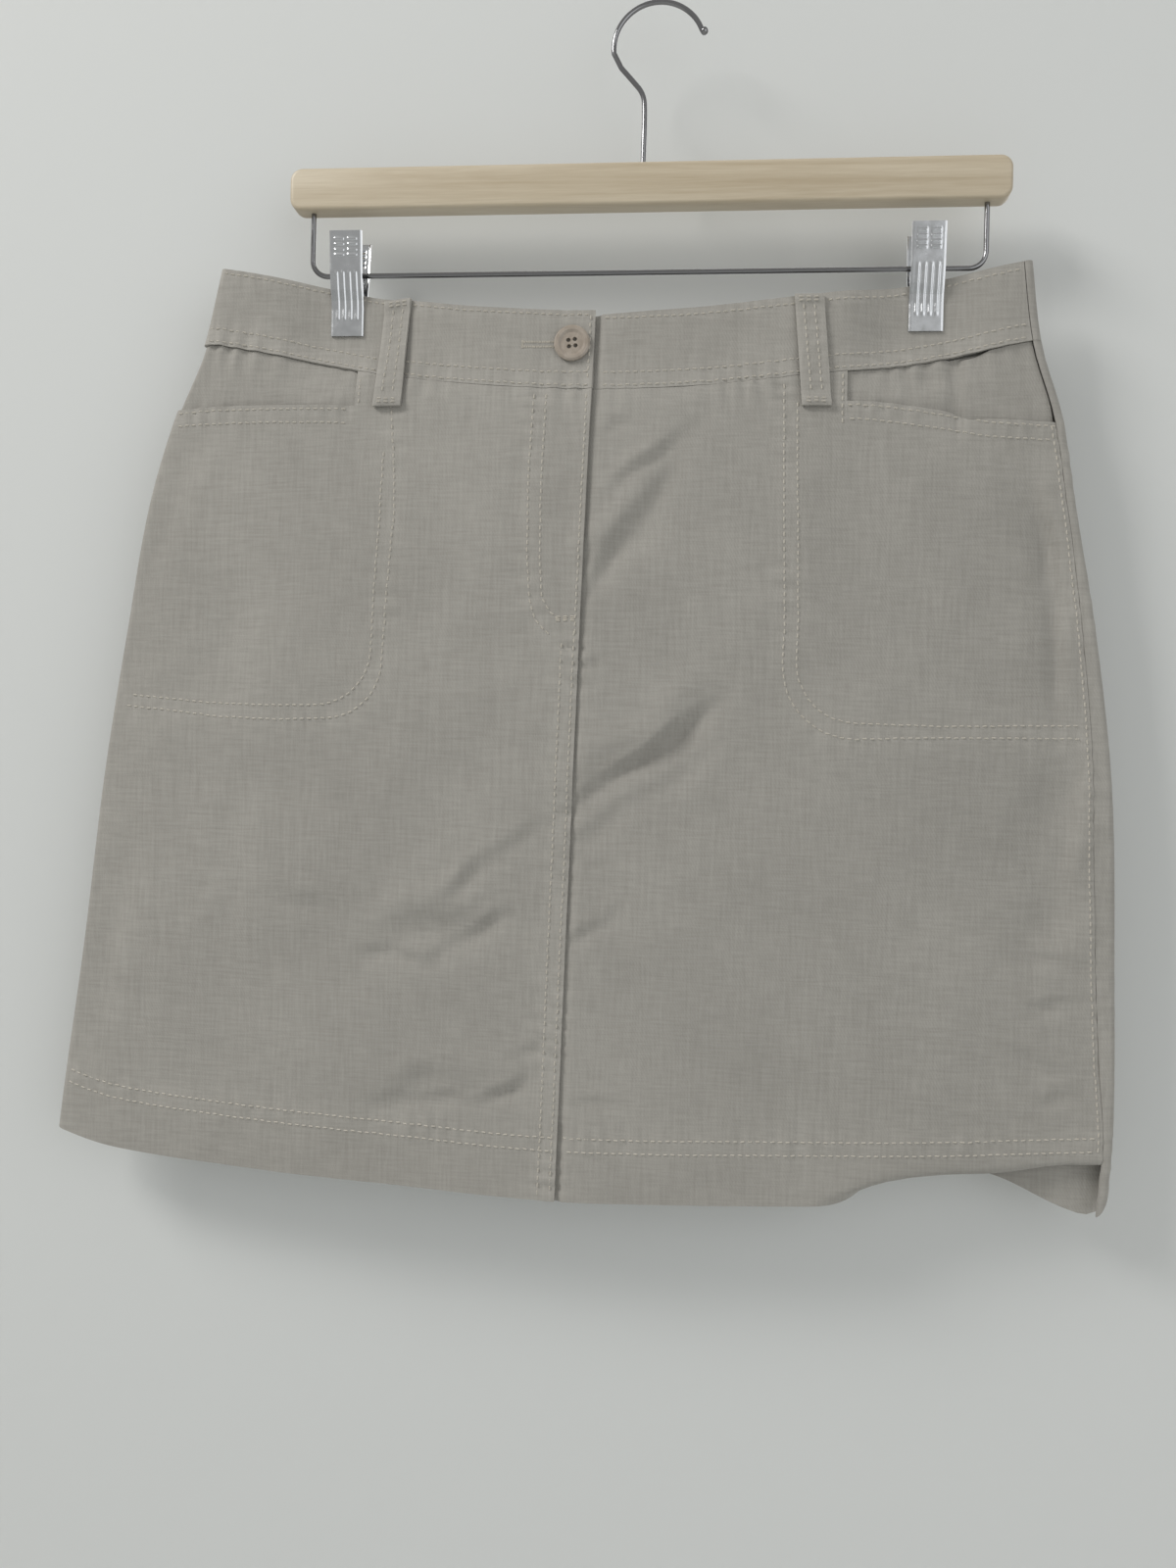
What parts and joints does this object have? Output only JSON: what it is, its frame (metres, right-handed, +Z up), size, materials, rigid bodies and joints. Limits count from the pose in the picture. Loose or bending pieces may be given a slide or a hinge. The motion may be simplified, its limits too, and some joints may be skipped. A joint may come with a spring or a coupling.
{
  "type": "skort on a clip hanger",
  "caption": "Khaki cotton twill skort with a buttoned waistband, fly front and cut-in pockets, hung flat from a wooden hanger by metal clips.",
  "frame": {"origin": "underside of the hook's crook, where a rail carries the hanger", "axes": "+Z up along the hanging garment, the garment's front faces -Y, +X towards the wearer's left"},
  "size_m": [0.5254, 0.0328, 0.5926],
  "materials": {
    "twill": "washed khaki cotton twill, matt",
    "shorts_cloth": "plain washed khaki cotton, matt",
    "button": "polished beige button resin",
    "wood": "pale natural hardwood, thinly lacquered",
    "chrome_wire": "dark polished plated steel wire",
    "chrome_clip": "bright chrome plated pressed steel"
  },
  "bodies": {
    "root": {"front_panel_right": "twill", "front_panel_left": "twill", "back_panel": "twill", "pocket_facing_right": "twill", "pocket_facing_left": "twill", "waistband_front_right": "twill", "waistband_front_left": "twill", "waistband_back": "twill", "fly_underlap": "twill", "belt_loop_front_right": "twill", "belt_loop_front_left": "twill", "belt_loop_back_right": "twill", "belt_loop_back_centre": "twill", "belt_loop_back_left": "twill", "shorts_front_right": "shorts_cloth", "shorts_front_left": "shorts_cloth", "shorts_back_right": "shorts_cloth", "shorts_back_left": "shorts_cloth", "button": "button", "hanger_bar": "wood", "hanger_hook": "chrome_wire", "hanger_rod": "chrome_wire", "clip_right_front_plate": "chrome_clip", "clip_right_back_plate": "chrome_clip", "clip_right_spring": "chrome_clip", "clip_left_front_plate": "chrome_clip", "clip_left_back_plate": "chrome_clip", "clip_left_spring": "chrome_clip"}
  },
  "joints": []
}
